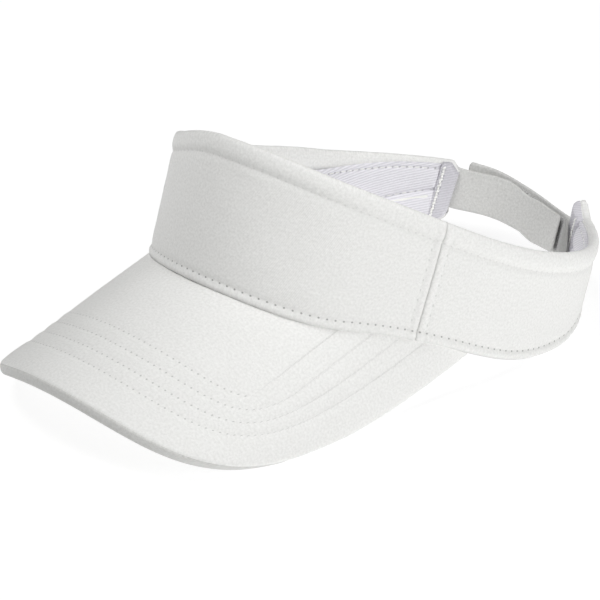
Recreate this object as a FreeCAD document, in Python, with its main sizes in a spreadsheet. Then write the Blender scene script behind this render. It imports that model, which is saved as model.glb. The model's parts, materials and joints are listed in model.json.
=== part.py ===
import FreeCAD, Part
import math
import os

Vector, Rotation, Placement = FreeCAD.Vector, FreeCAD.Rotation, FreeCAD.Placement

doc = FreeCAD.newDocument("SunVisor")

# Driving dimensions in millimetres and degrees. The visor is drawn in the band's own
# frame: the band stands upright about Z, the wearer faces -Y, the wearer's left is +X
# and Z = 0 is the front of the bill seam.
dimensions = {
    # plan of the band: outer face of the panels, as arcs tangent to each other
    "front_radius": 64.0,
    "front_turn": 63.0,
    "side_radius": 194.0,
    "side_turn": 98.5,
    "corner_radius": 52.0,
    "corner_turn": 136.5,
    "band_front": 110.0,
    # side view of the band: heights of the poles of the edge curves
    "top_front": 61.7,
    "top_mid_front": 50.9,
    "top_mid_back": 19.9,
    "top_back": 46.0,
    "bottom_dip": -21.0,
    "bottom_back": 22.7,
    "bottom_slack": 5.0,
    # plies of the band, from the outer face inwards
    "panel_ply": 0.6,
    "interlining_ply": 0.5,
    "lining_ply": 0.5,
    "ply_gap": 0.05,
    "running_gap": 0.3,
    "sweatband_thickness": 2.2,
    "sweatband_ply": 0.55,
    "foam_height": 14.0,
    "seam_gap": 0.4,
    "seam_heading": 73.5,
    "end_heading": 154.0,
    "sweatband_end": 149.0,
    "lining_height": 24.0,
    "sweatband_front": 36.0,
    "sweatband_mid_front": 33.0,
    "sweatband_mid_back": 14.0,
    "sweatband_back": 41.0,
    # bill: an elliptic arch that slopes down from the forehead
    "bill_slope": 33.9,
    "arch_half_width": 74.7,
    "arch_rise": 62.7,
    "bill_length": 79.6,
    "bill_rear": 78.0,
    "bill_drop": 61.5,
    "tip_slant": 0.4,
    "tip_pull": 35.8,
    "side_pull": 98.0,
    "bill_cover_ply": 0.7,
    "bill_board_ply": 2.3,
    "bill_edge_wrap": 0.9,
    "cover_inset": 0.3,
    "bill_row_margin": 17.5,
    "bill_row_pitch": 7.6,
    # closure straps and their tapes
    "strap_width": 19.5,
    "strap_base": 19.0,
    "strap_ply": 1.2,
    "tape_ply": 0.9,
    "tape_inset": 2.2,
    "hinge_gap": 0.5,
    "tail_length": 7.5,
    "slide_travel": 18.0,
    "right_tip_gap": 16.0,
    "left_tip_gap": 4.0,
    "hook_length": 30.0,
    "loop_length": 54.0,
    "loop_lead": 7.0,
    # sewing thread
    "thread_width": 0.55,
    "thread_height": 0.3,
    "top_row_margin": 8.2,
    "bottom_row_margin": 3.8,
    "seam_row_margin": 4.0,
    "end_row_margin": 2.5,
    "sweatband_row_margin": 2.5,
    "foam_row_lift": 1.0,
    "strap_row_margin": 1.0,
    "strap_row_start": 5.0,
    # how far cutting outlines run past the visor, and past the pieces they cut
    "trim_reach": 60.0,
    "trim_overrun": 1.0,
}

sheet = doc.addObject("Spreadsheet::Sheet", "sizes")
for row, (alias, value) in enumerate(dimensions.items(), start=1):
    sheet.set(f"A{row}", alias)
    sheet.set(f"B{row}", str(value))
    sheet.setAlias(f"B{row}", alias)
doc.recompute()


def size(alias):
    return float(getattr(sheet, alias))


# ---- plan of the band ------------------------------------------------------------

def headingVector(heading):
    angle = math.radians(heading)
    return Vector(math.sin(angle), -math.cos(angle), 0)


def planArcs():
    """Centre, radius and last heading of each arc, from the forehead to the back."""
    radii = [size("front_radius"), size("side_radius"), size("corner_radius")]
    turns = [size("front_turn"), size("side_turn"), size("corner_turn")]
    centres = [Vector(0, size("front_radius") - size("band_front"), 0)]
    for i in range(2):
        step = headingVector(turns[i]) * (radii[i] - radii[i + 1])
        centres.append(centres[i] + step)
    # the closing arc is centred on the middle plane
    closing = radii[2] + centres[2].x / headingVector(turns[2]).x
    centres.append(centres[2] + headingVector(turns[2]) * (radii[2] - closing))
    return list(zip(centres, radii + [closing], turns + [180.0]))


arcs = planArcs()
backCentre, backRadius, _ = arcs[-1]
bandRear = backCentre.y + backRadius


def arcAt(heading):
    centre, radius, _ = next(a for a in arcs if abs(heading) <= a[2])
    side = -1 if heading < 0 else 1
    return Vector(centre.x * side, centre.y, 0), radius


def arcPiece(centre, radius, first, last):
    stops = (first, (first + last) / 2, last)
    return Part.Arc(*[centre + headingVector(stop) * radius for stop in stops])


def planCurve(start, end, depth):
    """Arcs between two headings, at a depth inside the panels' outer face."""
    turns = [a[2] for a in arcs[:-1]]
    breaks = sorted([-turn for turn in turns] + [0.0] + turns)
    stops = [start] + [b for b in breaks if start < b < end] + [end]
    curve = []
    for first, last in zip(stops, stops[1:]):
        centre, radius = arcAt((first + last) / 2)
        curve.append(arcPiece(centre, radius - depth, first, last))
    return curve


def turnOf(heading, length):
    """Degrees of heading taken by a length along the panels near a heading."""
    return math.degrees(length / arcAt(heading)[1])


# ---- sketches and features -------------------------------------------------------

def newBody(label):
    body = doc.addObject("PartDesign::Body", label)
    body.Label = label
    return body


def addSketch(body, role, geometry, offset=None):
    sketch = body.newObject("Sketcher::SketchObject", "Outline")
    plane = next(f for f in body.Origin.OriginFeatures if f.Role == role)
    sketch.AttachmentSupport = [(plane, "")]
    sketch.MapMode = "FlatFace"
    if offset:
        sketch.AttachmentOffset = offset
    for piece in geometry:
        sketch.addGeometry(piece, False)
    return sketch


def addPad(body, sketch, length):
    pad = body.newObject("PartDesign::Pad", "Pad")
    pad.Profile = sketch
    pad.setExpression("Length", length)
    return pad


def addCut(body, sketch, forward=False):
    """Cut right through, both ways or only along the sketch's normal."""
    cut = body.newObject("PartDesign::Pocket", "Cut")
    cut.Profile = sketch
    cut.Type = "ThroughAll"
    if forward:
        cut.Reversed = True
    else:
        cut.SideType = "Symmetric"
    return cut


def polyline(points):
    return [Part.LineSegment(a, b) for a, b in zip(points, points[1:])]


def bezier(poles):
    curve = Part.BezierCurve()
    curve.setPoles(poles)
    return curve.toBSpline()


def difference(label, base, tool):
    cut = doc.addObject("Part::Cut", label)
    cut.Label = label
    cut.Base = base
    cut.Tool = tool
    return cut


# ---- bill frame: u runs forwards down the slope, drop is the depth below the crest

slope = math.radians(size("bill_slope"))


def billPoint(u, drop):
    """Point of the middle plane, as Y and Z in a side-view sketch."""
    y = -size("band_front") - u * math.cos(slope) + drop * math.sin(slope)
    z = -u * math.sin(slope) - drop * math.cos(slope)
    return Vector(y, z, 0)


def billPlane(lift=0.0):
    """Offset from the XZ plane to the section plane at the rear of the bill, slid up in itself for a lift."""
    rear = billPoint(-size("bill_rear"), -lift * math.cos(slope))
    return Placement(Vector(0, rear.y, -rear.x), Rotation(Vector(1, 0, 0), size("bill_slope")))


def archArc(depth):
    """Upper half of the section's ellipse, at a depth below the bill's top face."""
    centre = Vector(0, -size("arch_rise"), 0)
    wide, high = size("arch_half_width") - depth, size("arch_rise") - depth
    if wide >= high:
        return Part.ArcOfEllipse(Part.Ellipse(centre, wide, high), 0, math.pi)
    ellipse = Part.Ellipse(centre + Vector(0, high, 0), centre - Vector(wide, 0, 0), centre)
    return Part.ArcOfEllipse(ellipse, -math.pi / 2, math.pi / 2)


ear = billPoint(-size("bill_rear"), size("bill_drop"))


# ---- cuts that shape the band ----------------------------------------------------

reach, overrun = size("trim_reach"), size("trim_overrun")
far = reach * 3
nearlyAllRound = 179.0


def curvePoles(heights):
    """Poles of a side-view curve, evenly spaced from the forehead to the back."""
    span = bandRear + size("band_front")
    count = len(heights) - 1
    return [Vector(-size("band_front") + span * i / count, z, 0) for i, z in enumerate(heights)]


def topPoles():
    return curvePoles([size(n) for n in ("top_front", "top_mid_front", "top_mid_back", "top_back")])


def sweatbandPoles():
    names = ("sweatband_front", "sweatband_mid_front", "sweatband_mid_back", "sweatband_back")
    return curvePoles([size(n) for n in names])


def bottomPoles():
    back = Vector(bandRear, size("bottom_back"), 0)
    return [ear, Vector((ear.x + back.x) / 2, size("bottom_dip"), 0), back]


def sideProfile(poles, shift, above):
    """Closed side-view outline of all that lies above or below a curve."""
    poles = [p + Vector(0, shift, 0) for p in poles]
    before = poles[0] + (poles[0] - poles[1]).normalize() * reach
    after = poles[-1] + (poles[-1] - poles[-2]).normalize() * reach
    limit = far if above else -far
    corners = [poles[-1], after, Vector(after.x, limit, 0), Vector(before.x, limit, 0), before, poles[0]]
    return [bezier(poles)] + polyline(corners)


def trimTop(body, poles, shift=0.0):
    addCut(body, addSketch(body, "YZ_Plane", sideProfile(poles, shift, True)))


def trimUnder(body, poles, shift):
    addCut(body, addSketch(body, "YZ_Plane", sideProfile(poles, shift, False)))


def trimBottom(body, shift=0.0, depth=0.0):
    """Trim along the bill's top face in front and along the edge curve behind the ear.

    At a depth inside the panels the arch shrinks and moves back, so every ply ends level.
    """
    poles = bottomPoles()
    lifted = [p + Vector(0, shift, 0) for p in poles]
    after = lifted[-1] + (lifted[-1] - lifted[-2]).normalize() * reach
    start = lifted[0] + Vector(-far, -size("bottom_slack"), 0)
    corners = [lifted[-1], after, Vector(after.x, -far, 0), Vector(start.x, -far, 0), start, lifted[0]]
    addCut(body, addSketch(body, "YZ_Plane", [bezier(lifted)] + polyline(corners)))
    gap = size("ply_gap")
    half, level = size("arch_half_width") - depth + gap, -size("arch_rise")
    lift = shift + depth * (1 - math.sin(slope)) / math.cos(slope)
    edge = half + reach
    corners = [(-half, level), (-edge, level), (-edge, level - far), (edge, level - far),
               (edge, level), (half, level)]
    outline = [archArc(depth - gap)] + polyline([Vector(x, y, 0) for x, y in corners])
    addCut(body, addSketch(body, "XZ_Plane", outline, billPlane(lift)), forward=True)


def bandBlank(label, outer, inner, start, end):
    """Upright strip of cloth between two depths and two headings."""
    body = newBody(label)
    outside, inside = planCurve(start, end, outer), planCurve(start, end, inner)
    ends = [Part.LineSegment(outside[0].StartPoint, inside[0].StartPoint),
            Part.LineSegment(outside[-1].EndPoint, inside[-1].EndPoint)]
    sketch = addSketch(body, "XY_Plane", outside + inside + ends)
    sketch.setExpression("AttachmentOffset.Base.z", "-sizes.trim_reach")
    addPad(body, sketch, "sizes.trim_reach * 2.5")
    return body


parts = []


def keep(piece):
    parts.append(piece)
    return piece


# ---- plies of the band -----------------------------------------------------------

gap = size("ply_gap")
panelInner = size("panel_ply")
interliningOuter = panelInner + gap
interliningInner = interliningOuter + size("interlining_ply")
frontLiningOuter = interliningInner + gap
frontLiningInner = frontLiningOuter + size("lining_ply")
sideLiningInner = interliningOuter + size("lining_ply")
strapOuter = sideLiningInner + size("running_gap")
strapInner = strapOuter + size("strap_ply")
sweatbandOuter = strapInner + size("running_gap")
sweatbandInner = sweatbandOuter + size("sweatband_thickness")

seam = size("seam_heading")
halfSeam = turnOf(seam, size("seam_gap")) / 2
end = size("end_heading")


def panel(label, outer, inner, start, stop):
    body = bandBlank(label, outer, inner, start, stop)
    trimTop(body, topPoles())
    trimBottom(body)
    return keep(body)


def facing(label, outer, inner, start, stop):
    """Strip of self cloth behind the top edge."""
    body = bandBlank(label, outer, inner, start, stop)
    trimTop(body, topPoles())
    trimUnder(body, topPoles(), -size("lining_height"))
    trimBottom(body)
    return keep(body)


panel("front_panel", 0, panelInner, -seam + halfSeam, seam - halfSeam)
panel("left_side_panel", 0, panelInner, seam + halfSeam, end)
panel("right_side_panel", 0, panelInner, -end, -seam - halfSeam)
panel("front_interlining", interliningOuter, interliningInner, -seam + halfSeam, seam - halfSeam)
facing("front_lining", frontLiningOuter, frontLiningInner, -seam + halfSeam, seam - halfSeam)
facing("left_lining", interliningOuter, sideLiningInner, seam + halfSeam, end)
facing("right_lining", interliningOuter, sideLiningInner, -end, -seam - halfSeam)


# ---- sweatband: a folded twill strip, padded along its lower half ----------------

def sweatbandStrip(label, outer, inner):
    body = bandBlank(label, outer, inner, -size("sweatband_end"), size("sweatband_end"))
    trimTop(body, sweatbandPoles())
    trimBottom(body, 0, sweatbandInner)
    return body


foamOuter = sweatbandOuter + size("sweatband_ply")
foamInner = sweatbandInner - size("sweatband_ply")


def foamStrip(label, outer, inner, height):
    strip = sweatbandStrip(label + "_strip", outer, inner)
    above = bandBlank(label + "_above", outer - overrun, inner + overrun, -nearlyAllRound, nearlyAllRound)
    trimBottom(above, height, sweatbandInner)
    return difference(label, strip, above)


cover = sweatbandStrip("sweatband_blank", sweatbandOuter, sweatbandInner)
pocket = foamStrip("foam_pocket", foamOuter, foamInner, size("foam_height") + gap)
keep(difference("sweatband_cover", cover, pocket))
keep(foamStrip("sweatband_foam", foamOuter + gap, foamInner - gap, size("foam_height")))


# ---- bill: top cover, stiff board and an under cover that wraps the edge ---------

def billOutline(inset):
    """Side view of the bill's edge: a curve from the tip back to the ear."""
    tip = Vector(size("bill_length") - inset, 0, 0)
    side = Vector(-size("bill_rear"), size("bill_drop") - inset, 0)
    start = tip + Vector(-size("tip_slant"), 1, 0) * size("tip_pull")
    poles = [tip, start, side + Vector(size("side_pull"), 0, 0), side]
    return [billPoint(p.x, p.y) for p in poles]


def billBlank(label, top, bottom):
    body = newBody(label)
    over, under = archArc(top), archArc(bottom)
    level = -size("arch_rise")
    ends = [Part.LineSegment(Vector(side * (size("arch_half_width") - top), level, 0),
                             Vector(side * (size("arch_half_width") - bottom), level, 0))
            for side in (-1, 1)]
    sketch = addSketch(body, "XZ_Plane", [over, under] + ends, billPlane())
    addPad(body, sketch, "sizes.bill_rear + sizes.bill_length + sizes.trim_reach / 3")
    return body


def trimBillEdge(body, inset, outside=True):
    """Cut away what lies outside, or inside, the edge pulled in by an inset."""
    poles = billOutline(inset)
    if outside:
        forward = billPoint(size("bill_length") + reach, -reach)
        low = billPoint(size("bill_length") + reach, far)
        back = billPoint(-size("bill_rear") - reach, far)
        behind = billPoint(-size("bill_rear") - reach, size("bill_drop") - inset)
        up = billPoint(size("bill_length") - inset + size("tip_slant") * reach, -reach)
        corners = [poles[-1], behind, back, low, forward, up, poles[0]]
    else:
        high = billPoint(size("bill_length") - inset + size("tip_slant") * reach, -reach)
        corners = [poles[-1], billPoint(-size("bill_rear") - reach, size("bill_drop") - inset),
                   billPoint(-size("bill_rear") - reach, -reach), high, poles[0]]
    addCut(body, addSketch(body, "YZ_Plane", [bezier(poles)] + polyline(corners)))


def trimBillRear(body, depth):
    """Cut away what lies inside the band, from a depth inwards."""
    outline = planCurve(-180, 180, depth)
    addCut(body, addSketch(body, "XY_Plane", outline))


def billPly(label, top, bottom, inset, depth):
    body = billBlank(label, top, bottom)
    trimBillEdge(body, inset)
    trimBillRear(body, depth)
    return body


coverPly = size("bill_cover_ply")
boardTop = coverPly + gap
boardBottom = boardTop + size("bill_board_ply")
underTop = boardBottom + gap
underBottom = underTop + coverPly
billDepth = frontLiningInner + gap

keep(billPly("bill_top_cover", 0, coverPly, size("cover_inset"), billDepth))
keep(billPly("bill_board", boardTop, boardBottom, size("bill_edge_wrap") + gap, billDepth))
wrap = billPly("bill_wrap_blank", boardTop, underBottom, 0, billDepth)
hollow = billPly("bill_hollow", boardTop - overrun, underTop, size("bill_edge_wrap"), billDepth + overrun)
keep(difference("bill_under_cover", wrap, hollow))

thread, proud = size("thread_width"), size("thread_height")


def billRow(number, inset):
    body = billBlank(f"bill_stitch_row_{number}", -proud, 0)
    trimBillEdge(body, inset)
    trimBillEdge(body, inset + thread, outside=False)
    trimBillRear(body, -size("bottom_row_margin"))
    return keep(body)


for i in range(4):
    billRow(i + 1, size("bill_row_margin") + i * size("bill_row_pitch"))


# ---- rows of stitching on the band -----------------------------------------------

def rowBelow(label, poles, margin, outer, inner, start, stop):
    """Row that follows a side-view curve at a margin below it."""
    body = bandBlank(label, outer, inner, start, stop)
    trimTop(body, poles, -margin)
    trimUnder(body, poles, -margin - thread)
    return keep(body)


def rowAbove(label, margin, outer, inner, start, stop, depth=0.0):
    """Row that follows the band's bottom edge at a margin above it."""
    strip = bandBlank(label + "_strip", outer, inner, start, stop)
    trimBottom(strip, margin, depth)
    rest = bandBlank(label + "_rest", outer - overrun, inner + overrun, -nearlyAllRound, nearlyAllRound)
    trimBottom(rest, margin + thread, depth)
    return keep(difference(label, strip, rest))


def uprightRow(label, heading):
    half = turnOf(heading, thread) / 2
    body = bandBlank(label, -proud, 0, heading - half, heading + half)
    trimTop(body, topPoles(), -size("top_row_margin") - thread - gap)
    trimBottom(body, size("bottom_row_margin") + thread + gap)
    return keep(body)


rowEnd = end - turnOf(end, size("end_row_margin"))
rowBelow("top_edge_stitching", topPoles(), size("top_row_margin"), -proud, 0, -rowEnd, rowEnd)
rowAbove("bottom_edge_stitching", size("bottom_row_margin"), -proud, 0, -rowEnd, rowEnd)
margin = turnOf(seam, size("seam_row_margin"))
uprightRow("left_seam_stitching_front", seam - margin)
uprightRow("left_seam_stitching_back", seam + margin)
uprightRow("right_seam_stitching_front", -seam + margin)
uprightRow("right_seam_stitching_back", -seam - margin)
uprightRow("left_end_stitching", rowEnd)
uprightRow("right_end_stitching", -rowEnd)
sweatbandEnd = size("sweatband_end")
rowBelow("sweatband_edge_stitching", sweatbandPoles(), size("sweatband_row_margin"),
         sweatbandInner, sweatbandInner + proud, -sweatbandEnd, sweatbandEnd)
rowAbove("sweatband_middle_stitching", size("foam_height") + size("foam_row_lift"),
         sweatbandInner, sweatbandInner + proud, -sweatbandEnd, sweatbandEnd, sweatbandInner)


# ---- closure straps: concentric with the closing arc of the band ------------------

def strapSector(label, outerRadius, innerRadius, first, last, inset):
    """Curved strip between two headings on the closing arc, drawn in by an inset in sheet terms."""
    body = newBody(label)
    outside = arcPiece(backCentre, outerRadius, first, last)
    inside = arcPiece(backCentre, innerRadius, first, last)
    ends = polyline([outside.StartPoint, inside.StartPoint]) + polyline([outside.EndPoint, inside.EndPoint])
    sketch = addSketch(body, "XY_Plane", [outside, inside] + ends)
    sketch.setExpression("AttachmentOffset.Base.z", f"sizes.strap_base + {inset}")
    addPad(body, sketch, f"sizes.strap_width - 2 * ({inset})")
    return body


def strapTurn(length):
    return math.degrees(length / backRadius)


# headings here run from the left panel's end, 154, over the back, 180, to the right, 206
leftEnd, rightEnd = end, 360 - end
innerOuter = backRadius - strapOuter
innerInner = backRadius - strapInner
hookOuter = innerOuter + size("tape_ply")
loopInner = hookOuter + size("running_gap")
outerInner = loopInner + size("tape_ply")
outerOuter = outerInner + size("strap_ply")

hingeTurn = leftEnd + strapTurn(size("hinge_gap") + size("strap_ply") / 2)
hingePoint = backCentre + headingVector(hingeTurn) * (outerInner + size("strap_ply") / 2)
leftTip = rightEnd - strapTurn(size("left_tip_gap"))
rightTip = leftEnd + strapTurn(size("right_tip_gap"))
rightTail = rightEnd + strapTurn(size("tail_length"))

keep(strapSector("left_strap", outerOuter, outerInner, hingeTurn, leftTip, "0"))
keep(strapSector("right_strap", innerOuter, innerInner, rightTip, rightTail, "0"))

tapeMargin = strapTurn(size("tape_inset"))
loopStart = rightTip - strapTurn(size("loop_lead"))
keep(strapSector("loop_tape", outerInner, loopInner, loopStart,
                 loopStart + strapTurn(size("loop_length")), "sizes.tape_inset"))
keep(strapSector("hook_tape", hookOuter, innerOuter, rightTip + tapeMargin,
                 rightTip + tapeMargin + strapTurn(size("hook_length")), "sizes.tape_inset"))


def strapStitching(label, first, last, outerRadius):
    """Loop of stitching just inside the strap's outline, on its outer face."""
    turn, thickTurn = strapTurn(size("strap_row_margin")), strapTurn(thread)
    frame = strapSector(label + "_frame", outerRadius + proud, outerRadius, first + turn, last - turn,
                        "sizes.strap_row_margin")
    turn += thickTurn
    inner = strapSector(label + "_inner", outerRadius + proud + overrun, outerRadius - overrun,
                        first + turn, last - turn, "sizes.strap_row_margin + sizes.thread_width")
    return keep(difference(label, frame, inner))


rowStart = size("strap_row_start")
strapStitching("left_strap_stitching", hingeTurn + strapTurn(rowStart), leftTip, outerOuter)
strapStitching("right_strap_stitching", rightTip, rightEnd - strapTurn(size("slide_travel") + rowStart), innerOuter)

doc.recompute()


# ---- rest pose: the visor lies on the bill's side edges and the band's rear -------

def outlinePoints(piece):
    return piece.Shape.tessellate(0.05)[0]


def lowest(points, pitch):
    angle = math.radians(pitch)
    return min(p.z * math.cos(angle) - p.y * math.sin(angle) for p in points)


def restPitch(front, rear):
    """Nose-up pitch at which two sets of points touch one table together."""
    low, high = 0.0, 60.0
    for _ in range(40):
        pitch = (low + high) / 2
        if lowest(front, pitch) < lowest(rear, pitch):
            low = pitch
        else:
            high = pitch
    return pitch


def piece(label):
    return next(p for p in parts if p.Label == label)


pitch = restPitch(outlinePoints(piece("bill_under_cover")), outlinePoints(piece("left_side_panel")))
turned = Placement(Vector(), Rotation(Vector(1, 0, 0), -pitch))
points = [turned.multVec(p) for sub in parts for p in outlinePoints(sub)]
middle = [(min(axis) + max(axis)) / 2 for axis in zip(*[(p.x, p.y) for p in points])]
rest = Placement(Vector(-middle[0], -middle[1], -min(p.z for p in points)), turned.Rotation)
for sub in parts:
    sub.Placement = rest
doc.recompute()

for thing in doc.Objects:
    if "Invalid" in thing.State or "Error" in thing.State:
        raise RuntimeError(f"{thing.Label} failed: {thing.State}")
for sub in parts:
    if sub.Shape.isNull() or not sub.Shape.isValid():
        raise RuntimeError(f"{sub.Label} has no valid shape")

os.makedirs("parts", exist_ok=True)
for sub in parts:
    sub.Shape.exportStep(f"parts/{sub.Label}.step")

hinge = rest.multVec(hingePoint + Vector(0, 0, size("strap_base") + size("strap_width") / 2))
slide = rest.multVec(backCentre)
upright = rest.Rotation.multVec(Vector(0, 0, 1))
print("nodes", len(parts), "rest pitch", round(pitch, 2))
print("rest placement", rest)
print("strap hinge", hinge, "closing arc centre", slide, "band axis", upright)
print("closing arc radius", round(backRadius, 2), "ear", ear, "opening axis headings", leftEnd, rightEnd)
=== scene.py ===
import json
import math

import bpy
import numpy as np
from mathutils import Matrix, Vector


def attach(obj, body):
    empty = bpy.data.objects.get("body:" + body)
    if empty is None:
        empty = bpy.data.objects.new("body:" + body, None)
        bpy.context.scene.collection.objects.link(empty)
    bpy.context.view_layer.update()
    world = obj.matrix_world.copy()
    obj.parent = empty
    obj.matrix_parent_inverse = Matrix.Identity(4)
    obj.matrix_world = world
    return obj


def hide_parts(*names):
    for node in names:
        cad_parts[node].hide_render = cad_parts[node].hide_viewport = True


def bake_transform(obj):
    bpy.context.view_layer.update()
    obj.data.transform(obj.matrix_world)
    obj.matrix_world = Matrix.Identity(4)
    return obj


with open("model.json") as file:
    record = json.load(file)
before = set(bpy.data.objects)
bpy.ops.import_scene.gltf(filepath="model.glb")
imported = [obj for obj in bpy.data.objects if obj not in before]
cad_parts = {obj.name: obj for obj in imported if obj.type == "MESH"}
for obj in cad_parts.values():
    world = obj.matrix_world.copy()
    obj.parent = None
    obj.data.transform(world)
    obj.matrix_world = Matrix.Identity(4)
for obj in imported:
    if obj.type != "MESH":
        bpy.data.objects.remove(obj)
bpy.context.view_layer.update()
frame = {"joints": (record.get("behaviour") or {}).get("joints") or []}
print("frame loaded")

# band frame: millimetres, the band upright about Z, wearer facing -Y, left +X

band = {
    "frontRadius": 64.0, "frontTurn": 63.0,
    "sideRadius": 194.0, "sideTurn": 98.5,
    "cornerRadius": 52.0, "cornerTurn": 136.5,
    "front": 110.0,
    "topPoles": (61.7, 50.9, 19.9, 46.0),
    "bottomDip": -21.0, "bottomBack": 22.7,
    "seamTurn": 73.5, "endTurn": 154.0,
    "hem": 8.2, "lowRow": 3.8, "seamRow": 4.0,
    "ply": 0.6,
}
bill = {
    "slope": 33.9, "halfWidth": 74.7, "rise": 62.7,
    "length": 79.6, "rear": 78.0, "drop": 61.5,
    "tipSlant": 0.4, "tipPull": 35.8, "sidePull": 98.0,
    "thickness": 3.9, "ply": 0.6,
    "rows": 4, "rowMargin": 17.5, "rowPitch": 7.6,
}


def turnVector(turn):
    return np.stack([np.sin(turn), -np.cos(turn)], -1)


def planTable():
    radii = [band["frontRadius"], band["sideRadius"], band["cornerRadius"]]
    turns = np.radians([band["frontTurn"], band["sideTurn"], band["cornerTurn"]])
    centres = [np.array([0.0, radii[0] - band["front"]])]
    for i in range(2):
        centres.append(centres[i] + turnVector(turns[i]) * (radii[i] - radii[i + 1]))
    closing = radii[2] + centres[2][0] / math.sin(turns[2])
    centres.append(centres[2] + turnVector(turns[2]) * (radii[2] - closing))
    radii.append(closing)
    stops = np.array([0.0, *turns, math.pi])
    lengths = np.concatenate([[0.0], np.cumsum(np.array(radii) * np.diff(stops))])
    return np.array(centres), np.array(radii), stops, lengths


centres, radii, stops, lengths = planTable()
bandRear = centres[3][1] + radii[3]


def along(turn):
    # arc length along the panels from the forehead to a heading in degrees
    return float(np.interp(math.radians(turn), stops, lengths))


def planPoint(s, depth=0.0):
    s = np.asarray(s, float)
    turn = np.interp(np.abs(s), lengths, stops)
    part = np.clip(np.searchsorted(stops, turn, side="left") - 1, 0, 3)
    side = np.where(s < 0, -1.0, 1.0)
    x = (centres[part, 0] + (radii[part] - depth) * np.sin(turn)) * side
    y = centres[part, 1] - (radii[part] - depth) * np.cos(turn)
    return x, y


def curveAt(t, poles):
    # a cubic curve through its first and last poles, pulled by the two between
    weights = (1 - t) ** 3, 3 * t * (1 - t) ** 2, 3 * t * t * (1 - t), t ** 3
    return sum(weight * pole for weight, pole in zip(weights, poles))


def poleHeight(poles, y):
    # a height that runs from the forehead to the back through four poles
    t = (y + band["front"]) / (bandRear + band["front"])
    return curveAt(t, poles)


slope = math.radians(bill["slope"])


def archHeight(x, y):
    # height of the bill's top face at a place in plan
    drop = bill["rise"] * (1 - np.sqrt(np.clip(1 - (x / bill["halfWidth"]) ** 2, 0, 1)))
    return ((y + band["front"]) * math.sin(slope) - drop) / math.cos(slope)


def rearHeight(y):
    earY = -band["front"] + bill["rear"] * math.cos(slope) + bill["drop"] * math.sin(slope)
    earZ = bill["rear"] * math.sin(slope) - bill["drop"] * math.cos(slope)
    t = (y - earY) / (bandRear - earY)
    return (1 - t) ** 2 * earZ + 2 * t * (1 - t) * band["bottomDip"] + t * t * band["bottomBack"]


def bottomHeight(s):
    # the bill seam in front, the free edge behind, eased together over the ear
    easeStart, easeEnd = -46.0, 6.0
    x, y = planPoint(s)
    front, rear = archHeight(np.abs(x), y), rearHeight(y)
    xs, ys = planPoint(np.linspace(0, lengths[-1], 2000))
    startZ = np.interp(easeStart, ys, archHeight(np.abs(xs), ys))
    t = np.clip((y - easeStart) / (easeEnd - easeStart), 0, 1)
    endZ, endSlope = rearHeight(easeEnd), (rearHeight(easeEnd + 1) - rearHeight(easeEnd - 1)) / 2
    span = easeEnd - easeStart
    eased = ((2 * t ** 3 - 3 * t ** 2 + 1) * startZ + (t ** 3 - 2 * t ** 2 + t) * span * -0.05
             + (3 * t ** 2 - 2 * t ** 3) * endZ + (t ** 3 - t ** 2) * span * endSlope)
    return np.where(y < easeStart, front, np.where(y > easeEnd, rear, eased))


def ease(t):
    t = np.clip(t, 0, 1)
    return t * t * (3 - 2 * t)


def roundOff(distance, radius, least=0.0):
    # a quarter circle that falls away from 1 within a radius of an edge
    return np.sqrt(np.clip(1 - np.clip(1 - distance / radius, 0, 1) ** 2, least, 1))


rearEnd = {"sag": 7.2, "lift": 1.0, "chamfer": 4.2, "round": 3.0, "ear": 5.0, "earLength": 8.0}


def topLine(s, y):
    # soft cloth: the edge sags on the wearer's right of the forehead and lifts a little on the left
    sag = rearEnd["sag"] * ease(-s / 50) * ease((178 + s) / 78)
    lift = rearEnd["lift"] * np.exp(-((s - 22) / 26) ** 2)
    left = np.clip(along(band["endTurn"]) - np.abs(s), 0, None)
    cut = np.where(s < 0, rearEnd["chamfer"] * np.clip(1 - left / rearEnd["chamfer"], 0, 1),
                   -rearEnd["ear"] * np.clip(1 - left / rearEnd["earLength"], 0, 1) ** 1.15)
    return poleHeight(band["topPoles"], y) - sag + lift - cut


def bottomLine(s):
    left = np.clip(along(band["endTurn"]) - np.abs(s), 0, None)
    part = np.clip(1 - left / rearEnd["round"], 0, 1)
    return bottomHeight(s) + rearEnd["round"] * (1 - np.sqrt(1 - part ** 2 * 0.98))


slide = {j["name"]: j for j in frame["joints"]}["size_slide"]
pitch = math.atan2(slide["axis"][1], slide["axis"][2])
turned = np.array([[1, 0, 0], [0, math.cos(pitch), math.sin(pitch)], [0, -math.sin(pitch), math.cos(pitch)]])
bandOrigin = np.array(slide["pos_m"]) - turned @ np.array([0, centres[3][1], 0]) * 0.001


def toRow(points):
    return np.asarray(points) @ turned.T * 0.001 + bandOrigin


# meshes

def smoothNoise(x, y, seed, wave):
    # sum of a few fixed sine waves, from -1 to 1
    spread = np.random.default_rng(seed)
    total = 0.0
    for _ in range(6):
        angle, phase = spread.uniform(0, 2 * math.pi, 2)
        k = 2 * math.pi / (wave * spread.uniform(0.7, 1.5))
        total = total + np.sin(k * (x * math.cos(angle) + y * math.sin(angle)) + phase)
    return total / 6


def bump(x, middle, width):
    return np.exp(-((x - middle) / width) ** 2)


def bothFaces(front, back):
    # a closed section: one face out and the other back
    return np.concatenate([front, back[:, ::-1]], 1)


def gridNormals(grid):
    du, dv = np.gradient(grid, axis=0), np.gradient(grid, axis=1)
    normal = np.cross(du, dv)
    return normal / np.maximum(np.linalg.norm(normal, axis=-1, keepdims=True), 1e-9)


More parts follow.
